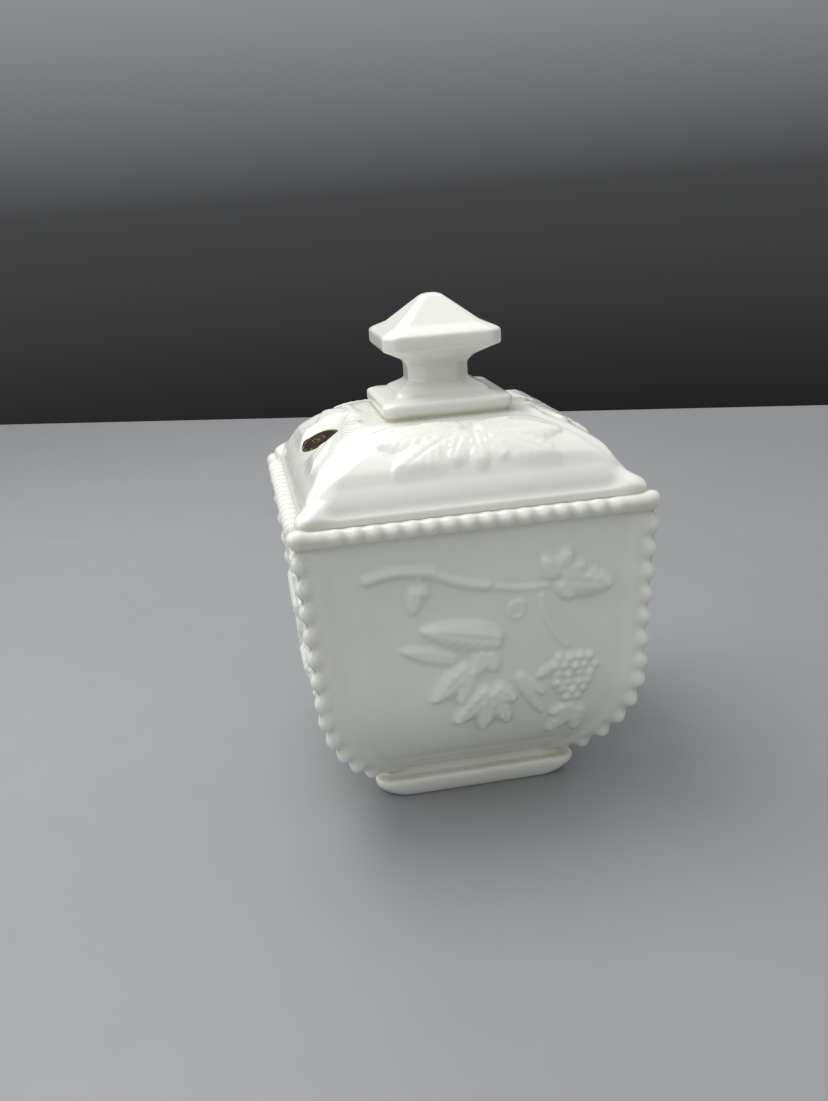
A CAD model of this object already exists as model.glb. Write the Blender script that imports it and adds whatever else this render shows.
# Square covered cream jar in pressed milk glass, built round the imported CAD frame.
# The jar and its lid are each one moulded surface with leaves, grapes and beads in relief.
import math

import bpy
import numpy as np
from mathutils import Matrix, Vector


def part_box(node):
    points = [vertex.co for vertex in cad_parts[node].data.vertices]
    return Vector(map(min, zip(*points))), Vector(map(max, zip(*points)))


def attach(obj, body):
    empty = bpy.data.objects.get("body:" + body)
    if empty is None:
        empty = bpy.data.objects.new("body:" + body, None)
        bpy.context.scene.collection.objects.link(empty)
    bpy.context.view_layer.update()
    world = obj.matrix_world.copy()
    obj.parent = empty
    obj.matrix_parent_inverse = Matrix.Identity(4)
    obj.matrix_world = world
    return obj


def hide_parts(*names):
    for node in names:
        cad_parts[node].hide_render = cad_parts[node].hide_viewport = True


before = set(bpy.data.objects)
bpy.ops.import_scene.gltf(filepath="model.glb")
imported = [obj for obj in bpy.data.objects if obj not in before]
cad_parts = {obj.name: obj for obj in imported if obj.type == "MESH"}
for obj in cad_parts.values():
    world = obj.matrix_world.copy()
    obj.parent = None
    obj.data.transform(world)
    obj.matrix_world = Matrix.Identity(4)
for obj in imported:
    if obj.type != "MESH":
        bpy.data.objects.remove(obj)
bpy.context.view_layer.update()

# Shapes are worked out in millimetres on a grid of this spacing, then scaled to metres
MM = 0.001
STEP = 0.45
JAR_TRIANGLES = 180000
LID_TRIANGLES = 140000

# ---------------------------------------------------------------- sizes, in millimetres
_, jar_high = [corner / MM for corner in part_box("jar_body")]
lid_low, lid_high = [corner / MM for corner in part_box("lid")]
label_low, label_high = [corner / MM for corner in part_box("foil_label")]

# Levels taken from the frame: the land that the lid rests on, the tip and the half width
SKIRT_DEPTH = 4.5
LAND = lid_low.z + SKIRT_DEPTH
CAP_TOP = lid_high.z
HALF = jar_high.x

# Foot and neck: half widths, and the heights of the foot plate and of the body's underside
FOOT = 30.6
FOOT_H = 6.6
FOOT_RING = 6.4
FOOT_HOLLOW = 3.0
NECK = 27.9
UNDER = 9.6

# Body: lean of the walls, centre and radius of the lower curve, wall and floor
DRAFT = math.radians(3.5)
BELLY_Z = 43.0
BELLY_R = 41.5
BELLY_X = 45.0 - BELLY_R * math.cos(DRAFT)
WALL = 4.8
FLOOR = 12.5
BODY_ROUND = 1.6
POST_RISE = 1.1
POST_REACH = 7.5
POST_SLOPE = 4.5

# Rim and its beads; the bead next to each corner is drawn out into a low swelling
RIM_EDGE = HALF - 2.1
RIM_H = 3.8
RIM_ROUND = 3.4
BEAD_LINE = HALF - 2.65
RIM_BEADS = 20
RIM_BEAD_Z = 89.3
RIM_BEAD_R = 2.3
RIM_BEAD_TALL = 2.0
SWELL_LONG = 3.6
SWELL_WIDE = 2.1
SWELL_TALL = 1.8
NUB_R = 2.6
NUB_TALL = 2.2

# Corner beads: seven down the straight part of each corner, five round the lower curve
CORNER_BEAD_R = 1.95
CORNER_BEAD_TALL = 2.3
CORNER_TOP = RIM_BEAD_Z - 6.2
CORNER_PITCH = 6.85
STRAIGHT_BEADS = 7
CURVE_BEADS = 5
CURVE_STEP = math.radians(9.4)
BEAD_OUT = 0.5

# Lid: half widths of flange, dome, crown, skirt and hollow, and their levels
FLANGE = 46.3
DOME_Z = LAND + 2.0
DOME = 45.4
CROWN = 18.0
CROWN_Z = DOME_Z + 18.6
CROWN_T = 5.4
SKIRT = 42.4
HOLLOW = SKIRT - 3.2
HOLLOW_TOP = CROWN - 2.5
HOLLOW_Z = LAND - 2.0

# Finial: half widths of collar, stem and cap, and the levels between them
COLLAR = 18.8
STEM = 8.9
CAP = 17.1
COLLAR_LOW = CROWN_Z + 1.4
COLLAR_HIGH = COLLAR_LOW + 3.4
STEM_LOW = COLLAR_HIGH + 4.2
STEM_HIGH = STEM_LOW + 4.4
BAND_LOW = STEM_HIGH + 5.6
BAND_HIGH = BAND_LOW + 4.0
CAP_RISE = CAP_TOP - BAND_HIGH

# Label: half length, half width, thickness, turn from level, and slope of the dome under it
LABEL_LONG = 11.0
LABEL_WIDE = 4.75
LABEL_T = 0.22
LABEL_SUNK = 0.25
LABEL_TILT = math.radians(24.0)
LABEL_LEAN = math.radians(34.0)

# Outlines of half sections are closed at this distance past the middle, and run past a
# face that they cut by this much
MIDDLE = -40.0
PAST = 8.0

# Spacing of the table that an outline's distances are read from
FINE = 0.2

# Leaf lobes: how much fuller and higher they are pressed than their listed sizes
LOBE_FULL = 1.18
LOBE_HIGH = 1.2


# ---------------------------------------------------------------- shape helpers
def ease(t):
    """0 below 0, 1 above 1 and smooth between."""
    t = np.clip(t, 0.0, 1.0)
    return t * t * (3.0 - 2.0 * t)


def blend_min(a, b, soft):
    """The union of two distance fields, with a fillet of about soft."""
    h = np.clip(0.5 + 0.5 * (b - a) / soft, 0.0, 1.0)
    return b + (a - b) * h - soft * h * (1.0 - h)


def blend_max(a, b, soft):
    """The intersection of two distance fields, with a rounded edge."""
    return -blend_min(-a, -b, soft)


def outline_distance(points, q, z):
    """Distance from each (q, z) to a closed outline, negative inside it."""
    q, z = np.meshgrid(q, z, indexing="ij")
    best = np.full(q.shape, 1e9)
    inside = np.zeros(q.shape, bool)
    for (x0, z0), (x1, z1) in zip(points, points[1:] + points[:1]):
        ex, ez = x1 - x0, z1 - z0
        t = np.clip(((q - x0) * ex + (z - z0) * ez) / (ex * ex + ez * ez), 0.0, 1.0)
        best = np.minimum(best, (q - x0 - t * ex) ** 2 + (z - z0 - t * ez) ** 2)
        if ez:
            crossed = ((z0 <= z) & (z < z1)) | ((z1 <= z) & (z < z0))
            inside ^= crossed & (q < x0 + (z - z0) * ex / ez)
    return np.where(inside, -np.sqrt(best), np.sqrt(best))


def soften(table, spread, axis):
    """Blurs a table along one axis; spread is in cells."""
    reach = int(3 * spread) + 1
    kernel = np.exp(-0.5 * (np.arange(-reach, reach + 1) / spread) ** 2)
    kernel /= kernel.sum()
    pad = [(reach, reach) if a == axis else (0, 0) for a in range(2)]
    wide = np.pad(table, pad, mode="edge")
    return sum(k * np.take(wide, range(i, i + table.shape[axis]), axis)
               for i, k in enumerate(kernel))


def square_metric(a, b, corner):
    """Half width of the square with rounded corners that passes through (a, b)."""
    straight = np.maximum(a, b)
    apart = np.minimum(np.abs(a - b), corner)
    rounded = (a + b - np.sqrt(2.0 * corner ** 2 - apart ** 2)) / 2.0 + corner
    return np.where(np.abs(a - b) >= corner, straight, rounded)


class Block:
    """A box of space with a distance field on an even grid."""

    def __init__(self, half, low, high):
        n = int(math.ceil(half / STEP))
        self.x = np.arange(-n, n + 1) * STEP
        self.z = low + np.arange(int(math.ceil((high - low) / STEP)) + 1) * STEP
        self.a, self.b = np.meshgrid(np.abs(self.x), np.abs(self.x), indexing="ij")

    def square(self, outline, corner, soft):
        """The field of a form whose four sides share one outline."""
        q = np.arange(-6.0, 64.0, FINE)
        table = outline_distance(outline, q, self.z)
        table = soften(soften(table, soft / FINE, 0), soft / STEP, 1)
        layers = []
        for k, z in enumerate(self.z):
            layers.append(np.interp(corner(self.a, self.b, z), q, table[:, k]))
        return np.stack(layers, axis=2).astype(np.float32)

    def join_ball(self, field, centre, radii, soft):
        """Adds a bead to a field."""
        span = []
        for axis, (c, r) in enumerate(zip(centre, radii)):
            line = self.z if axis == 2 else self.x
            near = np.nonzero(np.abs(line - c) < r + soft + 1.0)[0]
            if not len(near):
                return
            span.append((near[0], near[-1] + 1))
        (i0, i1), (j0, j1), (k0, k1) = span
        u = (self.x[i0:i1, None, None] - centre[0]) / radii[0]
        v = (self.x[None, j0:j1, None] - centre[1]) / radii[1]
        w = (self.z[None, None, k0:k1] - centre[2]) / radii[2]
        ball = (np.sqrt(u * u + v * v + w * w) - 1.0) * min(radii)
        part = field[i0:i1, j0:j1, k0:k1]
        part[...] = blend_min(part, ball, soft)

    def sides(self):
        """Front, right, back and left: mask over (x, y), and distances across and out."""
        x, y = np.meshgrid(self.x, self.x, indexing="ij")
        for across, out in ((x, -y), (y, x), (-x, y), (-y, -x)):
            mask = out > np.abs(across)
            yield mask, across[mask], out[mask]


def sample(block, field, points):
    """The field at points, read between the grid's own."""
    low = np.array([block.x[0], block.x[0], block.z[0]])
    place = (points - low) / STEP
    last = np.array(field.shape) - 2
    cell = np.clip(np.floor(place).astype(int), 0, last)
    f = np.clip(place - cell, 0.0, 1.0)
    total = np.zeros(len(points))
    for i in (0, 1):
        for j in (0, 1):
            for k in (0, 1):
                share = (np.where(i, f[:, 0], 1 - f[:, 0]) * np.where(j, f[:, 1], 1 - f[:, 1])
                         * np.where(k, f[:, 2], 1 - f[:, 2]))
                total += share * field[cell[:, 0] + i, cell[:, 1] + j, cell[:, 2] + k]
    return total


def slope(block, field, points):
    """The field's gradient at points."""
    reach = 0.75 * STEP
    parts = []
    for axis in range(3):
        shift = np.zeros(3)
        shift[axis] = reach
        parts.append((sample(block, field, points + shift)
                      - sample(block, field, points - shift)) / (2 * reach))
    return np.stack(parts, axis=1)


def surface_net(block, field):
    """Vertices and quads of the surface where the field is zero."""
    inside = field < 0
    count = np.zeros(tuple(n - 1 for n in field.shape), np.int8)
    corners = [(i, j, k) for i in (0, 1) for j in (0, 1) for k in (0, 1)]
    for i, j, k in corners:
        count += inside[i:i + count.shape[0], j:j + count.shape[1], k:k + count.shape[2]]
    cells = np.argwhere((count > 0) & (count < 8))
    index = np.full(count.shape, -1, np.int64)
    index[tuple(cells.T)] = np.arange(len(cells))
    value = {c: field[tuple((cells + c).T)].astype(float) for c in corners}
    total = np.zeros((len(cells), 3))
    hits = np.zeros(len(cells))
    for c in corners:
        for axis in range(3):
            if c[axis]:
                continue
            d = tuple(1 if m == axis else c[m] for m in range(3))
            crossed = (value[c] < 0) != (value[d] < 0)
            t = np.where(crossed, value[c] / np.where(crossed, value[c] - value[d], 1.0), 0.0)
            point = np.tile(np.array(c, float), (len(cells), 1))
            point[:, axis] = t
            total += point * crossed[:, None]
            hits += crossed
    low = np.array([block.x[0], block.x[0], block.z[0]])
    points = low + (cells + total / hits[:, None]) * STEP
    quads = []
    for axis in range(3):
        b, c = (axis + 1) % 3, (axis + 2) % 3
        first = np.take(inside, range(field.shape[axis] - 1), axis)
        second = np.take(inside, range(1, field.shape[axis]), axis)
        edges = np.argwhere(first != second)
        step_b, step_c = np.eye(3, dtype=int)[b], np.eye(3, dtype=int)[c]
        ring = [index[tuple((edges - shift).T)]
                for shift in (0 * step_b, step_b, step_b + step_c, step_c)]
        quad = np.stack(ring, axis=1)
        flip = ~first[tuple(edges.T)]
        quad[flip] = quad[flip][:, ::-1]
        quads.append(quad)
    return points, np.concatenate(quads)


def moulded_piece(name, block, field, triangles):
    """A Blender object whose surface is where the field is zero."""
    points, quads = surface_net(block, field)
    for _ in range(2):
        g = slope(block, field, points)
        d = sample(block, field, points)
        move = g * (d / np.maximum((g * g).sum(1), 0.2))[:, None]
        points -= np.clip(move, -0.4 * STEP, 0.4 * STEP)
    mesh = bpy.data.meshes.new(name)
    mesh.vertices.add(len(points))
    mesh.vertices.foreach_set("co", (points * MM).astype(np.float32).ravel())
    mesh.loops.add(quads.size)
    mesh.loops.foreach_set("vertex_index", quads.astype(np.int32).ravel())
    mesh.polygons.add(len(quads))
    mesh.polygons.foreach_set("loop_start", np.arange(0, quads.size, 4, dtype=np.int32))
    mesh.update(calc_edges=True)
    mesh.validate()
    piece = bpy.data.objects.new(name, mesh)
    bpy.context.scene.collection.objects.link(piece)
    if 2 * len(quads) > triangles:
        thin = piece.modifiers.new("thin", "DECIMATE")
        thin.ratio = triangles / (2.0 * len(quads))
        ready = piece.evaluated_get(bpy.context.evaluated_depsgraph_get())
        piece.data = bpy.data.meshes.new_from_object(ready)
        piece.modifiers.clear()
    shade_piece(piece, block, field)
    return piece


def shade_piece(piece, block, field):
    """Smooth normals and a recess value for each vertex, both read from the field."""
    mesh = piece.data
    co = np.zeros(len(mesh.vertices) * 3, np.float32)
    mesh.vertices.foreach_get("co", co)
    points = co.reshape(-1, 3) / MM
    normal = slope(block, field, points)
    normal /= np.maximum(np.linalg.norm(normal, axis=1), 1e-6)[:, None]
    # Each reach adds its share where the space at that distance out is not open
    hidden = np.zeros(len(points))
    for reach, share in ((1.0, 0.2), (2.2, 0.3), (4.5, 0.3), (9.0, 0.3)):
        open_space = sample(block, field, points + normal * reach) / reach
        hidden += share * np.clip(1.0 - open_space, 0.0, 1.0)
    recess = mesh.attributes.new("recess", "FLOAT", "POINT")
    recess.data.foreach_set("value", hidden.astype(np.float32))
    mesh.polygons.foreach_set("use_smooth", np.ones(len(mesh.polygons), bool))
    mesh.normals_split_custom_set_from_vertices(normal.tolist())
    mesh.update()


# ---------------------------------------------------------------- relief: heights over (u, v)
def turned(u, v, cu, cv, angle):
    """Coordinates along and across a direction, from a centre; 0 degrees points up."""
    a = math.radians(angle)
    along = (u - cu) * math.sin(a) + (v - cv) * math.cos(a)
    across = (u - cu) * math.cos(a) - (v - cv) * math.sin(a)
    return along, across


def lobe(u, v, cu, cv, angle, length, width, height):
    """One pillow-like lobe of a leaf, with a sunk middle vein and fine side veins."""
    t, s = turned(u, v, cu, cv, angle)
    part = np.clip(t / length, 0.0, 1.0)
    half = LOBE_FULL * width * np.sin(np.pi * (0.08 + 0.92 * part) ** 0.8) ** 0.7 + 1e-3
    half *= 1.0 + 0.07 * np.sin(t * 2.6) * part
    ends = ease((t + 1.0) / 2.5) * ease((length - t) / 1.5)
    body = np.clip(1.0 - (s / half) ** 2, 0.0, 1.0) ** 0.9
    vein = 0.26 * np.exp(-(s / 0.55) ** 2) * (1.0 - 0.6 * part)
    ribs = 0.07 * np.sin((t - 0.9 * np.abs(s)) * 2.1) * ease(np.abs(s) / (0.4 * width))
    return LOBE_HIGH * height * body * ends * (0.85 + 0.15 * part - vein + ribs)


def leaf(u, v, cu, cv, height, lobes):
    """A vine leaf: lobes that fan out from its stalk's end."""
    out = np.zeros(np.broadcast(u, v).shape)
    for angle, length, width in lobes:
        out = np.maximum(out, lobe(u, v, cu, cv, angle, length, width, height))
    return out


def stem(u, v, points, width, height):
    """A round vine through points."""
    out = np.full(np.broadcast(u, v).shape, 1e9)
    for (u0, v0), (u1, v1) in zip(points, points[1:]):
        eu, ev = u1 - u0, v1 - v0
        t = np.clip(((u - u0) * eu + (v - v0) * ev) / (eu * eu + ev * ev), 0.0, 1.0)
        out = np.minimum(out, np.hypot(u - u0 - t * eu, v - v0 - t * ev))
    return height * np.sqrt(np.clip(1.0 - (out / width) ** 2, 0.0, 1.0))


def arc(start, end, bulge, steps=12):
    """Points on a curve from start to end that bulges to its left."""
    (u0, v0), (u1, v1) = start, end
    du, dv = u1 - u0, v1 - v0
    return [(u0 + du * t - dv * bulge * 4 * t * (1 - t), v0 + dv * t + du * bulge * 4 * t * (1 - t))
            for t in [i / steps for i in range(steps + 1)]]


def curl(cu, cv, size, start, turns, steps=26):
    """Points of a tendril that winds in to its end."""
    points = []
    for i in range(steps + 1):
        t = i / steps
        a = math.radians(start) + 2 * math.pi * turns * t
        r = size * (1.0 - 0.72 * t)
        points.append((cu + r * math.cos(a), cv + r * math.sin(a)))
    return points


def bunch(u, v, cu, cv, angle, rows, grape, height, seed):
    """Grapes in rows that close to a tip."""
    rng = np.random.default_rng(seed)
    out = np.zeros(np.broadcast(u, v).shape)
    for row, count in enumerate(rows):
        for i in range(count):
            along = -row * grape * 1.52 + rng.uniform(-0.2, 0.2)
            side = (i - (count - 1) / 2) * grape * 1.78 + rng.uniform(-0.2, 0.2)
            size = grape * rng.uniform(0.92, 1.1)
            t, s = turned(u, v, cu, cv, angle)
            near = ((t - along) ** 2 + (s - side) ** 2) / size ** 2
            lift = height * (0.75 + 0.25 * rng.uniform(0, 1)) * (1.15 - 0.3 * abs(side) / 6.0)
            out = np.maximum(out, lift * np.clip(1.0 - near, 0.0, 1.0) ** 0.55)
    return out


def panel_relief(u, v):
    """Vine, leaves and grapes on one wall of the jar: u across, v up from the foot."""
    parts = [
        stem(u, v, arc((-31, 76.3), (-13, 76.2), 0.07), 1.6, 1.3),
        stem(u, v, arc((-13, 76.2), (2, 70.8), -0.05), 1.4, 1.1),
        stem(u, v, arc((2, 70.8), (20, 69), -0.06), 1.0, 0.5),
        stem(u, v, arc((-17, 76), (-18.5, 69), 0.12), 0.9, 0.7),
        leaf(u, v, -17.8, 73.0, 1.7, ((190, 8.5, 2.4), (128, 5.0, 1.6))),
        lobe(u, v, 5.5, 54.6, -76, 24.0, 4.3, 2.1),
        lobe(u, v, -7.5, 50.3, -74, 17.0, 2.5, 1.2),
        leaf(u, v, 1.0, 52.5, 1.7, ((-150, 9.0, 3.0), (165, 8.0, 2.8))),
        leaf(u, v, -4.0, 48.0, 1.8, ((228, 15.5, 3.4), (196, 13.0, 3.0))),
        leaf(u, v, 1.5, 40.5, 2.2, ((224, 15.5, 3.8), (190, 15.5, 3.6), (158, 14.5, 3.4),
                                    (124, 9.5, 2.8))),
        leaf(u, v, 21.5, 70.5, 2.0, ((102, 16.5, 4.6), (64, 9.5, 2.8), (22, 9.5, 2.9),
                                     (-30, 8.5, 2.7), (148, 8.0, 2.6))),
        leaf(u, v, 27.0, 30.0, 1.5, ((222, 13.0, 3.2), (178, 11.0, 2.7), (258, 9.0, 2.4))),
        leaf(u, v, 9.0, 43.5, 1.2, ((152, 17.0, 1.9), (134, 12.0, 1.8))),
        lobe(u, v, 19.5, 44.0, 242, 6.0, 1.7, 1.1),
        stem(u, v, arc((17, 66), (24, 50), -0.10), 0.9, 0.6),
        stem(u, v, curl(9.8, 62.4, 2.9, 40, 1.3), 0.75, 0.55),
    ]
    grapes = bunch(u, v, 26, 46.2, 4, (4, 5, 4, 4, 3, 2), 1.65, 2.0, 11)
    top = np.maximum.reduce(parts)
    swell = 1.3 * np.exp(-((u - 1) / 25.0) ** 2 - ((v - 47) / 21.0) ** 2)
    edge = ease((41.0 - np.abs(u)) / 5.0) * ease((v - 13.0) / 6.0) * ease((84.0 - v) / 4.0)
    return (np.maximum(top, grapes) + swell) * edge


def slope_relief(u, q):
    """Low leaves on one slope of the lid: u across, q out from the middle."""
    v = -q
    parts = [
        leaf(u, v, 1.5, -29.0, 0.85, ((-97, 26.0, 5.6), (-121, 27.0, 5.6), (-66, 13.0, 4.0),
                                      (-152, 13.0, 5.0))),
        leaf(u, v, 5.0, -30.0, 0.75, ((96, 24.0, 5.0), (120, 24.0, 5.2), (68, 12.0, 3.6),
                                      (148, 12.0, 4.6))),
        lobe(u, v, 3.5, -30.0, 180, 12.0, 4.2, 0.75),
        stem(u, v, arc((-24, -25.5), (3, -26.5), 0.05), 1.3, 0.5),
    ]
    top = np.maximum.reduce(parts)
    edge = ease((q - np.abs(u) + 1.0) / 9.0) * ease((q - 20.0) / 6.0) * ease((42.2 - q) / 2.8)
    return (top + 0.8) * edge


# ---------------------------------------------------------------- the jar
def wall_x(inset, z):
    """Half width of the straight wall at a height, drawn in by an inset."""
    r = BELLY_R - inset
    return BELLY_X + r * math.cos(DRAFT) + (z - BELLY_Z + r * math.sin(DRAFT)) * math.tan(DRAFT)


def wall_outline(inset, low, high):
    """One side of the body between two heights, from the lower curve upwards."""
    r = BELLY_R - inset
    steep = math.asin((BELLY_Z - low) / r)
    steps = 26
    angles = [steep + (DRAFT - steep) * i / steps for i in range(steps + 1)]
    curve = [(BELLY_X + r * math.cos(a), BELLY_Z - r * math.sin(a)) for a in angles]
    return curve + [(wall_x(inset, high), high)]


def jar_corner(a, b, z):
    """Square metric of the body and rim."""
    below_rim = LAND - 6.0
    corner = np.interp(z, [below_rim, LAND - RIM_H], [BODY_ROUND, RIM_ROUND])
    return square_metric(a, b, float(corner))


def corner_posts(u, z):
    """Height by which each wall rises towards the corners, under the beads."""
    low = np.sqrt(np.maximum(BELLY_R ** 2 - (BELLY_Z - z) ** 2, 0.0)) + BELLY_X
    half = np.where(z > BELLY_Z - BELLY_R * math.sin(DRAFT), wall_x(0.0, z), low)
    return POST_RISE * ease((np.abs(u) - half + POST_REACH) / POST_SLOPE)


def foot_corner(a, b, z):
    """Square metric of the foot and its neck, whose corners are roundest at the bottom."""
    return square_metric(a, b, float(np.interp(z, [0.0, 4.0, FOOT_H], [9.0, 5.0, 3.8])))


def foot_outline():
    """One side of the foot, which narrows a little towards the bottom, and its neck."""
    return [(MIDDLE, 0.0), (FOOT - 1.9, 0.0), (FOOT - 0.8, 2.0), (FOOT, 4.4),
            (FOOT, FOOT_H - 0.8), (FOOT - 0.8, FOOT_H), (NECK, FOOT_H), (NECK, UNDER + 2.0),
            (MIDDLE, UNDER + 2.0)]


def corner_bead(i):
    """Distance from the middle of each side, and height, of a corner bead."""
    if i < STRAIGHT_BEADS:
        z = CORNER_TOP - i * CORNER_PITCH
        return wall_x(-BEAD_OUT, z), z
    a = (i - STRAIGHT_BEADS + 1) * CURVE_STEP
    r = BELLY_R + BEAD_OUT
    return BELLY_X + r * math.cos(a), BELLY_Z - r * math.sin(a)


def quarter_turns(turn, x, y, z):
    """A place turned about the middle by quarter turns."""
    c, s = ((1, 0), (0, 1), (-1, 0), (0, -1))[turn]
    return c * x - s * y, s * x + c * y, z


def add_rim_beads(block, field, turn):
    """The beads along one side of the rim, a swelling at each end and a corner nub."""
    pitch = 2 * BEAD_LINE / (RIM_BEADS - 1)
    for i in range(2, RIM_BEADS - 2):
        place = quarter_turns(turn, -BEAD_LINE + i * pitch, -BEAD_LINE, RIM_BEAD_Z)
        block.join_ball(field, place, (RIM_BEAD_R, RIM_BEAD_R, RIM_BEAD_TALL), soft=1.4)
    radii = (SWELL_LONG, SWELL_WIDE, SWELL_TALL)
    if turn % 2:
        radii = (SWELL_WIDE, SWELL_LONG, SWELL_TALL)
    for end in (-1, 1):
        place = quarter_turns(turn, end * (BEAD_LINE - pitch), -BEAD_LINE, RIM_BEAD_Z + 0.2)
        block.join_ball(field, place, radii, soft=2.0)
    nub = HALF - NUB_R - 0.4
    block.join_ball(field, quarter_turns(turn, nub, nub, RIM_BEAD_Z + 0.6),
                    (NUB_R, NUB_R, NUB_TALL), soft=2.2)


def add_corner_beads(block, field, turn):
    """The beads down one corner of the body."""
    for i in range(STRAIGHT_BEADS + CURVE_BEADS):
        x, z = corner_bead(i)
        block.join_ball(field, quarter_turns(turn, x, x, z),
                        (CORNER_BEAD_R, CORNER_BEAD_R, CORNER_BEAD_TALL), soft=2.0)


def add_panel_relief(block, field):
    """Raises the vines, leaves and corner posts from the four walls."""
    u, v = block.x[:, None], block.z[None, :]
    relief = panel_relief(u, v) + corner_posts(u, v) * ease((LAND - RIM_H - v) / 2.0)
    spread = 0.42 / STEP
    relief = soften(soften(relief, spread, 0), spread, 1).astype(np.float32)
    for mask, across, _ in block.sides():
        field[mask] -= relief[np.rint((across - block.x[0]) / STEP).astype(int)]


def make_jar():
    """The jar: foot, body with relief, rim and beads, hollowed out."""
    block = Block(HALF + 2.0, -2.0, LAND + 3.0)
    outer = ([(MIDDLE, UNDER)] + wall_outline(0.0, UNDER, LAND - RIM_H)
             + [(RIM_EDGE, LAND - RIM_H), (RIM_EDGE, LAND), (MIDDLE, LAND)])
    field = block.square(outer, jar_corner, soft=0.45)
    add_panel_relief(block, field)
    foot = block.square(foot_outline(), foot_corner, soft=0.45)
    field = blend_min(field, foot, soft=1.2)
    for turn in range(4):
        add_rim_beads(block, field, turn)
        add_corner_beads(block, field, turn)
    inner = [(MIDDLE, FLOOR)] + wall_outline(WALL, FLOOR, LAND + PAST) + [(MIDDLE, LAND + PAST)]
    hollow = block.square(inner, lambda a, b, z: square_metric(a, b, 5.0), soft=0.8)
    field = blend_max(field, -hollow, soft=1.4)
    ring = FOOT - FOOT_RING
    under = [(MIDDLE, -20.0), (ring, -20.0), (ring - 1.4, FOOT_HOLLOW), (MIDDLE, FOOT_HOLLOW)]
    hollow = block.square(under, lambda a, b, z: square_metric(a, b, 3.0), soft=0.6)
    field = blend_max(field, -hollow, soft=1.0)
    return moulded_piece("milk_glass_jar", block, field, JAR_TRIANGLES)


# ---------------------------------------------------------------- the lid
def dome_outline(base_x, base_z, top_x, top_z):
    """One side of a dome from its base to its crown."""
    steps = 26
    angles = [0.5 * math.pi * i / steps for i in range(steps + 1)]
    return [(top_x + (base_x - top_x) * max(math.cos(a), 0.0) ** 1.25,
             base_z + (top_z - base_z) * math.sin(a) ** 1.2) for a in angles]


def finial_outline():
    """Collar, stem and cap, from the dome up to the tip."""
    return [(MIDDLE, CROWN_Z - 5.0), (COLLAR - 2.0, CROWN_Z - 5.0), (COLLAR - 2.0, CROWN_Z + 0.4),
            (COLLAR, COLLAR_LOW), (COLLAR, COLLAR_HIGH - 0.6), (COLLAR - 0.8, COLLAR_HIGH),
            (COLLAR * 0.72, COLLAR_HIGH + 0.7), (COLLAR * 0.70, COLLAR_HIGH + 1.7),
            (STEM + 1.2, STEM_LOW - 0.8), (STEM, STEM_LOW), (STEM, STEM_HIGH),
            (STEM + 1.6, STEM_HIGH + 2.0), (CAP - 0.8, BAND_LOW - 0.4), (CAP, BAND_LOW),
            (CAP, BAND_HIGH), (CAP * 0.93, BAND_HIGH + CAP_RISE * 0.07),
            (CAP * 0.72, BAND_HIGH + CAP_RISE * 0.22), (CAP * 0.36, BAND_HIGH + CAP_RISE * 0.7),
            (CAP * 0.16, CAP_TOP - 0.4), (CAP * 0.06, CAP_TOP), (MIDDLE, CAP_TOP)]


def finial_corner(a, b, z):
    """Square metric whose corners are cut by a share that depends on the level."""
    cut = np.interp(z, [COLLAR_HIGH, STEM_LOW, STEM_HIGH, BAND_LOW], [1.34, 1.08, 1.08, 1.28])
    return blend_max(square_metric(a, b, 0.5), (a + b) / (math.sqrt(2.0) * cut), 0.6)


def lid_corner(a, b, z):
    """Square metric of the skirt, flange and dome."""
    corner = np.interp(z, [LAND, DOME_Z, DOME_Z + 5.0, CROWN_Z], [2.5, 3.2, 7.0, 3.4])
    return square_metric(a, b, float(corner))


def add_slope_relief(block, field):
    """Raises the leaves from the four slopes, and leaves a bare place for the label."""
    left_side = 3
    above = ease((block.z[None, :] - DOME_Z - 0.5) / 3.0)
    for side, (mask, across, out) in enumerate(block.sides()):
        relief = slope_relief(across, out)
        if side == left_side:
            relief = relief * ease((np.hypot(across / 1.5, out - 36.0) - 6.5) / 3.0)
        field[mask] -= (relief[:, None] * above).astype(np.float32)


def make_lid():
    """The lid: skirt, flange, dome with relief, and the finial."""
    base = LAND - SKIRT_DEPTH
    block = Block(FLANGE + 3.0, base - 2.0, CAP_TOP + 2.0)
    dome = ([(MIDDLE, LAND + 1.0), (DOME, LAND + 1.0)]
            + dome_outline(DOME, DOME_Z, CROWN, CROWN_Z) + [(MIDDLE, CROWN_Z)])
    field = block.square(dome, lid_corner, soft=0.5)
    add_slope_relief(block, field)
    seat = [(MIDDLE, base), (SKIRT, base), (SKIRT, LAND), (FLANGE, LAND), (FLANGE, DOME_Z),
            (MIDDLE, DOME_Z)]
    # The fillet between flange and dome is wider near the corners
    flare = 2.4 + 6.0 * ease((np.minimum(block.a, block.b) - 36.0) / 9.0)
    field = blend_min(field, block.square(seat, lid_corner, soft=0.25), flare[:, :, None])
    finial = block.square(finial_outline(), finial_corner, soft=0.35)
    field = blend_min(field, finial, soft=1.6)
    inner = ([(MIDDLE, base - PAST), (HOLLOW, base - PAST)]
             + dome_outline(HOLLOW, HOLLOW_Z, HOLLOW_TOP, CROWN_Z - CROWN_T)
             + [(MIDDLE, CROWN_Z - CROWN_T)])
    hollow = block.square(inner, lambda a, b, z: square_metric(a, b, 5.0), soft=0.8)
    field = blend_max(field, -hollow, soft=1.0)
    return moulded_piece("milk_glass_lid", block, field, LID_TRIANGLES), block, field


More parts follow.
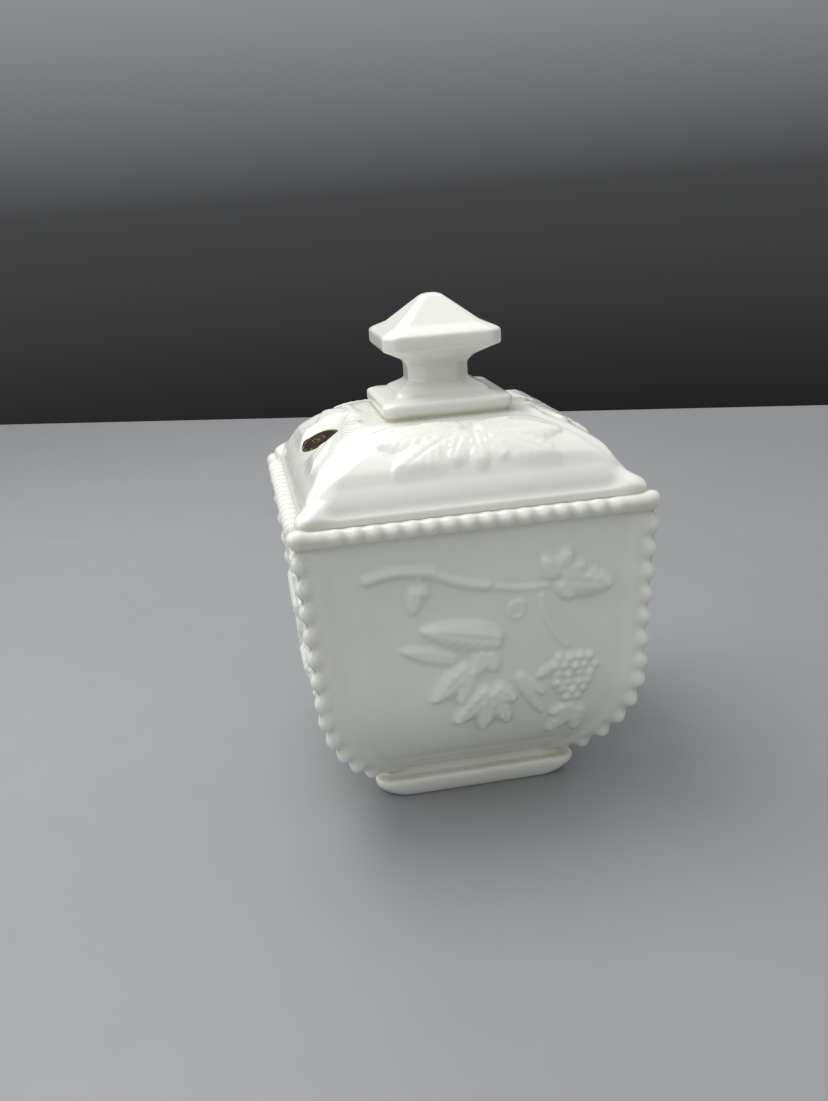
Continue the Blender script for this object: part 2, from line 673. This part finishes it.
# ---------------------------------------------------------------- the foil label
def oval_plate(rings, spokes):
    """Points of a unit disc in rings, and the faces between them."""
    plate = [(0.0, 0.0)]
    for r in range(1, rings + 1):
        for k in range(spokes):
            a = 2 * math.pi * k / spokes
            plate.append((r / rings * math.cos(a), r / rings * math.sin(a)))
    faces = []
    for k in range(spokes):
        m = (k + 1) % spokes
        faces.append((0, 1 + k, 1 + m))
        for r in range(rings - 1):
            a, b = 1 + r * spokes, 1 + (r + 1) * spokes
            faces.append((a + k, b + k, b + m, a + m))
    return np.array(plate), faces


def make_label(block, field):
    """A thin oval of foil that follows the glass under it."""
    middle = [(a + b) / 2 for a, b in zip(label_low, label_high)]
    down = np.array([-math.cos(LABEL_LEAN), 0.0, -math.sin(LABEL_LEAN)])
    side = np.array([0.0, 1.0, 0.0])
    out = np.array([-math.sin(LABEL_LEAN), 0.0, math.cos(LABEL_LEAN)])
    long_way = math.cos(LABEL_TILT) * side + math.sin(LABEL_TILT) * down
    wide_way = math.cos(LABEL_TILT) * down - math.sin(LABEL_TILT) * side
    rings, spokes = 14, 72
    plate, faces = oval_plate(rings, spokes)
    base = (np.array(middle)[None, :] + plate[:, :1] * LABEL_LONG * long_way
            + plate[:, 1:] * LABEL_WIDE * wide_way)
    for _ in range(12):
        base -= sample(block, field, base)[:, None] * out * 0.9
    worn = 0.05 * np.sin(plate[:, 0] * 9.0) * np.sin(plate[:, 1] * 5.0 + 1.0)
    edge = np.clip(np.hypot(plate[:, 0], plate[:, 1]), 0.0, 1.0)
    lift = LABEL_T + worn * (1.0 - edge) - 0.08 * ease((edge - 0.9) / 0.1)
    top = base + out * lift[:, None]
    low = base - out * LABEL_SUNK
    n = len(plate)
    under = [tuple(v + n for v in reversed(f)) for f in faces]
    rim = 1 + (rings - 1) * spokes
    wall = [(rim + k, n + rim + k, n + rim + (k + 1) % spokes, rim + (k + 1) % spokes)
            for k in range(spokes)]
    mesh = bpy.data.meshes.new("foil_oval")
    mesh.from_pydata((np.concatenate([top, low]) * MM).tolist(), [], faces + under + wall)
    mesh.validate()
    place = mesh.attributes.new("place", "FLOAT_VECTOR", "POINT")
    both = np.concatenate([plate, plate])
    place.data.foreach_set("vector", np.pad(both, ((0, 0), (0, 1))).astype(np.float32).ravel())
    mesh.polygons.foreach_set("use_smooth", np.ones(len(mesh.polygons), bool))
    mesh.set_sharp_from_angle(angle=math.radians(50))
    piece = bpy.data.objects.new("foil_oval", mesh)
    bpy.context.scene.collection.objects.link(piece)
    return piece


# ---------------------------------------------------------------- materials
class Nodes:
    """Short calls for building a material's nodes."""

    def __init__(self, name):
        self.material = bpy.data.materials.new(name)
        self.material.use_nodes = True
        self.tree = self.material.node_tree
        self.shader = self.tree.nodes["Principled BSDF"]
        self.where = self.tree.nodes.new("ShaderNodeTexCoord").outputs["Object"]

    def link(self, a, b):
        self.tree.links.new(a, b)

    def noise(self, scale, detail=3.0, rough=0.5):
        node = self.tree.nodes.new("ShaderNodeTexNoise")
        node.inputs["Scale"].default_value = scale
        node.inputs["Detail"].default_value = detail
        node.inputs["Roughness"].default_value = rough
        self.link(self.where, node.inputs["Vector"])
        return node.outputs["Fac"]

    def attribute(self, name, kind="Fac"):
        node = self.tree.nodes.new("ShaderNodeAttribute")
        node.attribute_name = name
        return node.outputs[kind]

    def spread(self, value, from_low, from_high, to_low, to_high):
        node = self.tree.nodes.new("ShaderNodeMapRange")
        node.interpolation_type = "SMOOTHSTEP"
        for key, v in (("From Min", from_low), ("From Max", from_high),
                       ("To Min", to_low), ("To Max", to_high)):
            node.inputs[key].default_value = v
        self.link(value, node.inputs["Value"])
        return node.outputs["Result"]

    def math(self, kind, a, b):
        node = self.tree.nodes.new("ShaderNodeMath")
        node.operation = kind
        for slot, v in zip(node.inputs, (a, b)):
            if isinstance(v, (int, float)):
                slot.default_value = v
            else:
                self.link(v, slot)
        return node.outputs[0]

    def mix(self, factor, a, b):
        node = self.tree.nodes.new("ShaderNodeMix")
        node.data_type = "RGBA"
        self.link(factor, node.inputs[0])
        for slot, v in zip((node.inputs[6], node.inputs[7]), (a, b)):
            if isinstance(v, tuple):
                slot.default_value = (*v, 1.0)
            else:
                self.link(v, slot)
        return node.outputs[2]

    def bump(self, height, strength, distance, under=None):
        node = self.tree.nodes.new("ShaderNodeBump")
        node.inputs["Strength"].default_value = strength
        node.inputs["Distance"].default_value = distance
        self.link(height, node.inputs["Height"])
        if under is not None:
            self.link(under, node.inputs["Normal"])
        return node.outputs["Normal"]


def milk_glass(name, light, cloud, finer):
    """Opaque white pressed glass: cloudy body, soft skin, warmer in its recesses."""
    n = Nodes(name)
    wide = n.spread(n.noise(24.0 + finer, 4.0, 0.6), 0.35, 0.68, 0.0, 1.0)
    body = n.mix(wide, light, cloud)
    recess = n.spread(n.attribute("recess"), 0.12, 0.80, 0.0, 1.0)
    grime = n.math("MULTIPLY", recess, n.spread(n.noise(60.0, 3.0), 0.3, 0.7, 0.7, 1.0))
    n.link(n.mix(grime, body, (0.66, 0.645, 0.56)), n.shader.inputs["Base Color"])
    skin = n.spread(n.noise(420.0, 3.0), 0.3, 0.7, 0.10, 0.20)
    dull = n.math("MULTIPLY", recess, 0.16)
    n.link(n.math("ADD", skin, dull), n.shader.inputs["Roughness"])
    ripple = n.bump(n.noise(95.0, 2.0), 0.35, 0.0004)
    grain = n.bump(n.noise(1500.0, 3.0), 0.12, 0.00006, ripple)
    n.link(grain, n.shader.inputs["Normal"])
    n.shader.inputs["IOR"].default_value = 1.5
    n.shader.inputs["Subsurface Weight"].default_value = 0.35
    n.shader.inputs["Subsurface Radius"].default_value = (1.0, 0.95, 0.85)
    n.shader.inputs["Subsurface Scale"].default_value = 0.003
    n.shader.inputs["Coat Weight"].default_value = 0.25
    n.shader.inputs["Coat Roughness"].default_value = 0.05
    return n.material


def foil(name):
    """Dark metallic foil with a worn gold line round it and a plain gold ornament."""
    n = Nodes(name)
    split = n.tree.nodes.new("ShaderNodeSeparateXYZ")
    n.link(n.attribute("place", "Vector"), split.inputs[0])
    x, y = split.outputs[0], split.outputs[1]
    far = n.math("SQRT", n.math("ADD", n.math("POWER", x, 2.0), n.math("POWER", y, 2.0)), 0.0)
    line = n.math("MULTIPLY", n.spread(far, 0.84, 0.88, 0.0, 1.0),
                  n.spread(far, 0.94, 0.98, 1.0, 0.0))
    lozenge = n.math("ADD", n.math("MULTIPLY", n.math("ABSOLUTE", x, 0.0), 1.6),
                     n.math("MULTIPLY", n.math("ABSOLUTE", y, 0.0), 1.9))
    ring = n.math("MULTIPLY", n.spread(lozenge, 0.60, 0.66, 0.0, 1.0),
                  n.spread(lozenge, 0.74, 0.80, 1.0, 0.0))
    dot = n.spread(lozenge, 0.20, 0.26, 1.0, 0.0)
    gold = n.math("MAXIMUM", line, n.math("MAXIMUM", ring, dot))
    worn = n.spread(n.noise(700.0, 4.0), 0.42, 0.66, 0.0, 0.55)
    gold = n.math("MULTIPLY", gold, worn)
    dark = n.mix(n.noise(260.0, 3.0), (0.008, 0.006, 0.003), (0.022, 0.015, 0.006))
    n.link(n.mix(gold, dark, (0.58, 0.39, 0.13)), n.shader.inputs["Base Color"])
    n.link(n.spread(gold, 0.0, 1.0, 0.0, 0.85), n.shader.inputs["Metallic"])
    n.link(n.spread(n.noise(900.0, 2.0), 0.3, 0.7, 0.55, 0.75), n.shader.inputs["Roughness"])
    crease = n.bump(n.noise(330.0, 3.0), 0.5, 0.00012)
    n.link(n.bump(gold, 0.5, 0.00006, crease), n.shader.inputs["Normal"])
    n.shader.inputs["Specular IOR Level"].default_value = 0.1
    return n.material


def plain_floor():
    """Plain grey studio surface."""
    n = Nodes("plain_floor")
    n.link(n.mix(n.noise(9.0, 3.0), (0.270, 0.273, 0.280), (0.305, 0.308, 0.315)),
           n.shader.inputs["Base Color"])
    n.link(n.spread(n.noise(60.0, 3.0), 0.3, 0.7, 0.42, 0.55), n.shader.inputs["Roughness"])
    return n.material


# ---------------------------------------------------------------- stage, light and camera
def make_floor():
    """A wide table top whose far edge runs at a slant behind the object."""
    edge = math.radians(-22.7)
    along = np.array([math.cos(edge), math.sin(edge), 0.0])
    back = np.array([-math.sin(edge), math.cos(edge), 0.0])
    far, near, half = 0.55 * back, -1.4 * back, 1.5 * along
    mesh = bpy.data.meshes.new("table_top")
    corners = [near - half, near + half, far + half, far - half]
    mesh.from_pydata([tuple(c) for c in corners], [], [(0, 1, 2, 3)])
    floor = bpy.data.objects.new("table_top", mesh)
    bpy.context.scene.collection.objects.link(floor)
    mesh.materials.append(plain_floor())


def area_light(name, place, aim, size, power, colour):
    """A rectangular soft light that faces a point."""
    lamp = bpy.data.lights.new(name, "AREA")
    lamp.shape = "RECTANGLE"
    lamp.size, lamp.size_y = size
    lamp.energy = power
    lamp.color = colour
    obj = bpy.data.objects.new(name, lamp)
    bpy.context.scene.collection.objects.link(obj)
    way = np.array(aim) - np.array(place)
    obj.location = place
    down = math.atan2(math.hypot(way[0], way[1]), -way[2])
    obj.rotation_euler = (down, 0.0, math.atan2(way[0], -way[1]) + math.pi)


def make_world():
    """Dim studio surroundings, darkest low down and light overhead."""
    world = bpy.data.worlds.new("studio")
    world.use_nodes = True
    tree = world.node_tree
    where = tree.nodes.new("ShaderNodeTexCoord").outputs["Generated"]
    split = tree.nodes.new("ShaderNodeSeparateXYZ")
    tree.links.new(where, split.inputs[0])
    height = tree.nodes.new("ShaderNodeMapRange")
    height.inputs["From Min"].default_value = -0.2
    height.inputs["From Max"].default_value = 0.6
    tree.links.new(split.outputs[2], height.inputs["Value"])
    ramp = tree.nodes.new("ShaderNodeValToRGB")
    stops = ((0.0, 0.014), (0.25, 0.060), (0.42, 0.24), (1.0, 0.70))
    for place, _ in stops[1:-1]:
        ramp.color_ramp.elements.new(place)
    for stop, (place, grey) in zip(ramp.color_ramp.elements, stops):
        stop.position = place
        stop.color = (0.98 * grey, grey, 1.03 * grey, 1.0)
    tree.links.new(height.outputs["Result"], ramp.inputs[0])
    tree.links.new(ramp.outputs[0], tree.nodes["Background"].inputs[0])
    tree.nodes["Background"].inputs[1].default_value = 1.0
    bpy.context.scene.world = world


def make_camera(place, yaw, pitch, roll, focal):
    """A camera at a place, turned to the right, down and about its own axis, in degrees."""
    yaw, pitch, roll = math.radians(yaw), math.radians(pitch), math.radians(roll)
    ahead = Vector((math.sin(yaw) * math.cos(pitch), math.cos(yaw) * math.cos(pitch),
                    -math.sin(pitch)))
    level = Vector((math.cos(yaw), -math.sin(yaw), 0.0))
    up = level.cross(ahead)
    right = math.cos(roll) * level + math.sin(roll) * up
    top = math.cos(roll) * up - math.sin(roll) * level
    view = Matrix((right, top, -ahead)).transposed().to_4x4()
    view.translation = Vector(place)
    lens = bpy.data.cameras.new("camera")
    lens.sensor_width = 36.0
    lens.lens = focal
    lens.clip_start = 0.01
    camera = bpy.data.objects.new("camera", lens)
    bpy.context.scene.collection.objects.link(camera)
    camera.matrix_world = view
    bpy.context.scene.camera = camera


make_camera((-0.0601, -0.3193, 0.1724), yaw=8.9, pitch=17.95, roll=-4.05, focal=35.97)
make_world()
make_floor()
area_light("overhead", (-0.20, 0.15, 0.66), aim=(0.0, 0.0, 0.08), size=(0.46, 0.46), power=3.1,
           colour=(1.0, 0.98, 0.95))
area_light("window", (-0.58, -0.04, 0.36), aim=(0.0, 0.0, 0.08), size=(0.40, 0.40), power=1.0,
           colour=(0.90, 0.95, 1.0))
area_light("front_fill", (0.05, -0.80, 0.16), aim=(0.0, 0.0, 0.06), size=(0.7, 0.3), power=0.42,
           colour=(1.0, 1.0, 0.97))
bpy.context.scene.view_settings.view_transform = "Standard"

jar = make_jar()
jar.data.materials.append(
    milk_glass("jar_glass", (0.84, 0.85, 0.79), (0.79, 0.805, 0.735), finer=0.0))
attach(jar, "jar")
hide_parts("jar_body")

lid, lid_block, lid_field = make_lid()
lid.data.materials.append(
    milk_glass("lid_glass", (0.86, 0.855, 0.80), (0.81, 0.815, 0.755), finer=5.0))
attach(lid, "cover")
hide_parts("lid")

label = make_label(lid_block, lid_field)
label.data.materials.append(foil("label_foil"))
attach(label, "cover")
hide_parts("foil_label")
